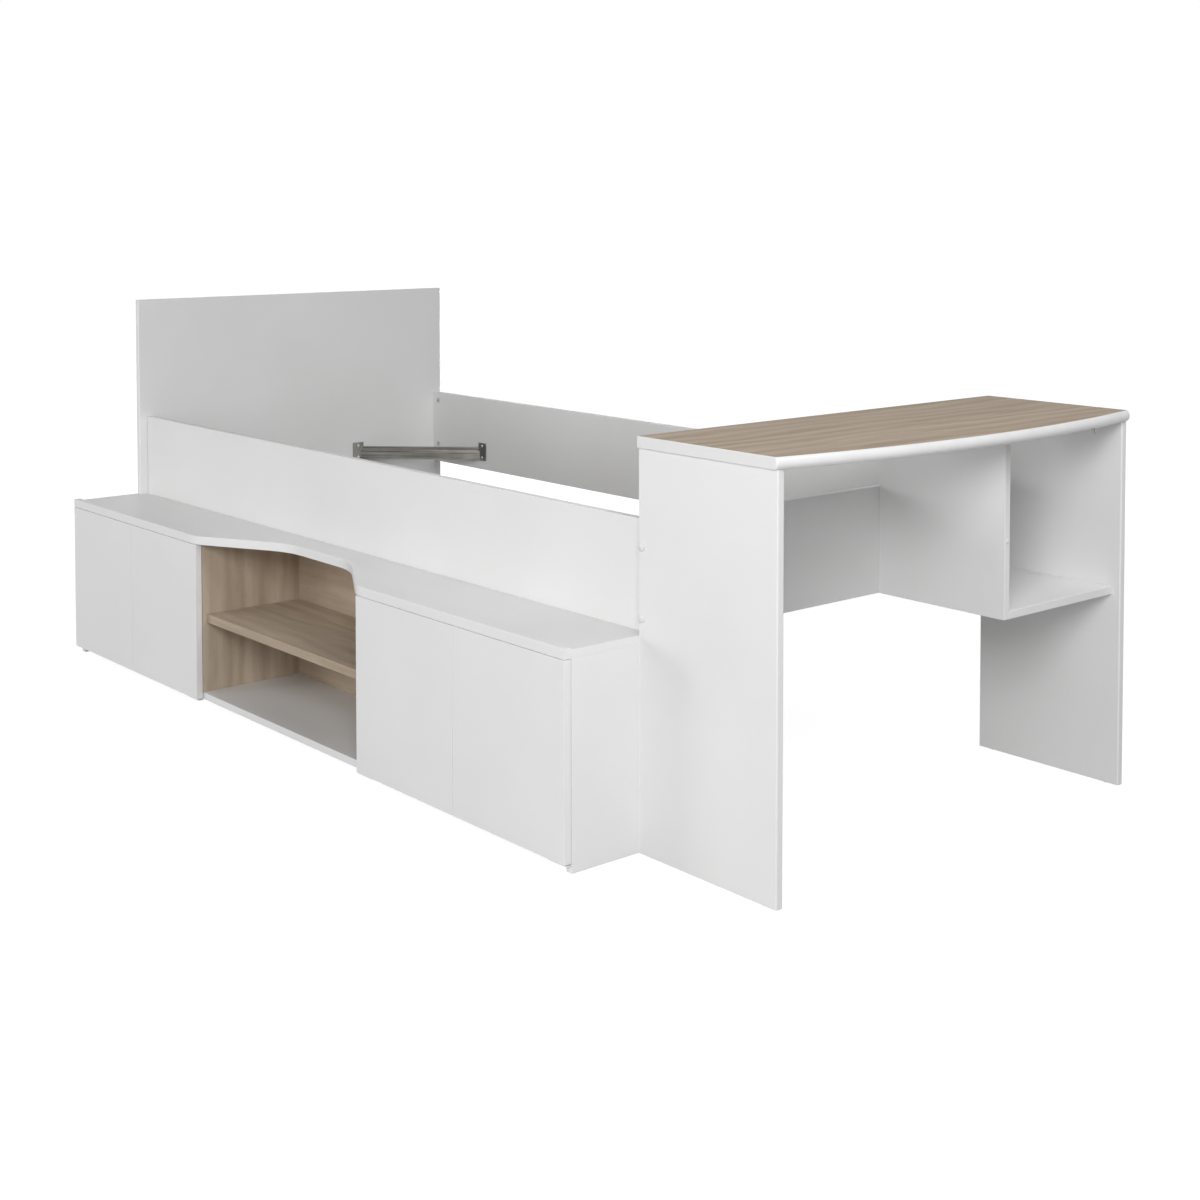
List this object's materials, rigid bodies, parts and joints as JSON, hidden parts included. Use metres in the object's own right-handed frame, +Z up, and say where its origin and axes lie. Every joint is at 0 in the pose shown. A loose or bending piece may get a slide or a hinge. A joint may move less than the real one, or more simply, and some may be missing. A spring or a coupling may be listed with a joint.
{
  "type": "cabin bed",
  "caption": "Single bed frame with a cupboard bench and an open niche along its front, and a bow-fronted desk with a cubby across its foot.",
  "frame": {"origin": "middle of the whole part's box, on the floor", "axes": "+X from the headboard to the desk, +Y from the bench to the wall side, +Z up"},
  "size_m": [2.4409, 1.179, 0.918],
  "materials": {
    "white_board": "white melamine-faced board",
    "oak_board": "grey-brown oak-look board",
    "white_edging": "smooth white edge strip",
    "white_cap": "smooth white plastic of caps and glides",
    "brace_steel": "dark brushed steel",
    "zinc_steel": "bright zinc-plated steel",
    "grey_plastic": "moulded grey plastic",
    "beech": "plain beech dowel"
  },
  "bodies": {
    "frame": {"bench_floor": "white_board", "bench_left_side": "white_board", "bench_right_side": "white_board", "bench_top": "white_board", "brace_foot_front": "brace_steel", "brace_foot_rear": "brace_steel", "brace_head_front": "brace_steel", "brace_head_rear": "brace_steel", "brace_screws": "zinc_steel", "cam_bolts": "zinc_steel", "cam_locks": "zinc_steel", "cubby_shelf": "white_board", "desk_left_panel": "white_board", "desk_right_panel": "white_board", "desktop": "oak_board", "desktop_nosing": "white_edging", "divider": "white_board", "divider_cap": "white_cap", "dowels": "beech", "footboard": "white_board", "footboard_bolts": "zinc_steel", "front_rail": "white_board", "headboard": "white_board", "latch_housings": "grey_plastic", "latch_screws": "zinc_steel", "left_bolt_caps": "white_cap", "left_cupboard_back": "white_board", "levelling_feet": "grey_plastic", "niche_back": "oak_board", "niche_left_wall": "oak_board", "niche_right_wall": "oak_board", "niche_shelf": "oak_board", "panel_glides": "white_cap", "pivot_bushes": "grey_plastic", "pivot_plate_screws": "zinc_steel", "pivot_plates": "zinc_steel", "pivot_washers": "grey_plastic", "rear_rail": "white_board", "right_bolt_caps": "white_cap", "right_cupboard_back": "white_board", "shelf_pins": "zinc_steel"},
    "left_outer_door_body": {"left_outer_door": "white_board", "left_outer_pins": "zinc_steel", "left_outer_strike": "zinc_steel"},
    "left_outer_plunger_body": {"left_outer_plunger": "grey_plastic"},
    "left_inner_door_body": {"left_inner_door": "white_board", "left_inner_pins": "zinc_steel", "left_inner_strike": "zinc_steel"},
    "left_inner_plunger_body": {"left_inner_plunger": "grey_plastic"},
    "right_inner_door_body": {"right_inner_door": "white_board", "right_inner_pins": "zinc_steel", "right_inner_strike": "zinc_steel"},
    "right_inner_plunger_body": {"right_inner_plunger": "grey_plastic"},
    "right_outer_door_body": {"right_outer_door": "white_board", "right_outer_pins": "zinc_steel", "right_outer_strike": "zinc_steel"},
    "right_outer_plunger_body": {"right_outer_plunger": "grey_plastic"}
  },
  "joints": [
    {"name": "left_outer_hinge", "type": "hinge", "parent": "frame", "child": "left_outer_door_body", "pos_m": [-1.2165, -0.5795, 0.2], "axis": [0, 0, -1], "range_deg": [0, 105]},
    {"name": "left_inner_hinge", "type": "hinge", "parent": "frame", "child": "left_inner_door_body", "pos_m": [-0.5545, -0.5795, 0.2], "axis": [0, 0, 1], "range_deg": [0, 105]},
    {"name": "right_inner_hinge", "type": "hinge", "parent": "frame", "child": "right_inner_door_body", "pos_m": [0.1445, -0.5795, 0.2], "axis": [0, 0, -1], "range_deg": [0, 105]},
    {"name": "right_outer_hinge", "type": "hinge", "parent": "frame", "child": "right_outer_door_body", "pos_m": [0.8115, -0.5795, 0.2], "axis": [0, 0, 1], "range_deg": [0, 105]},
    {"name": "left_outer_latch", "type": "slide", "parent": "frame", "child": "left_outer_plunger_body", "axis": [0, 1, 0], "range_m": [0, 0.003], "stiffness_N_per_m": 400},
    {"name": "left_inner_latch", "type": "slide", "parent": "frame", "child": "left_inner_plunger_body", "axis": [0, 1, 0], "range_m": [0, 0.003], "stiffness_N_per_m": 400},
    {"name": "right_inner_latch", "type": "slide", "parent": "frame", "child": "right_inner_plunger_body", "axis": [0, 1, 0], "range_m": [0, 0.003], "stiffness_N_per_m": 400},
    {"name": "right_outer_latch", "type": "slide", "parent": "frame", "child": "right_outer_plunger_body", "axis": [0, 1, 0], "range_m": [0, 0.003], "stiffness_N_per_m": 400}
  ]
}
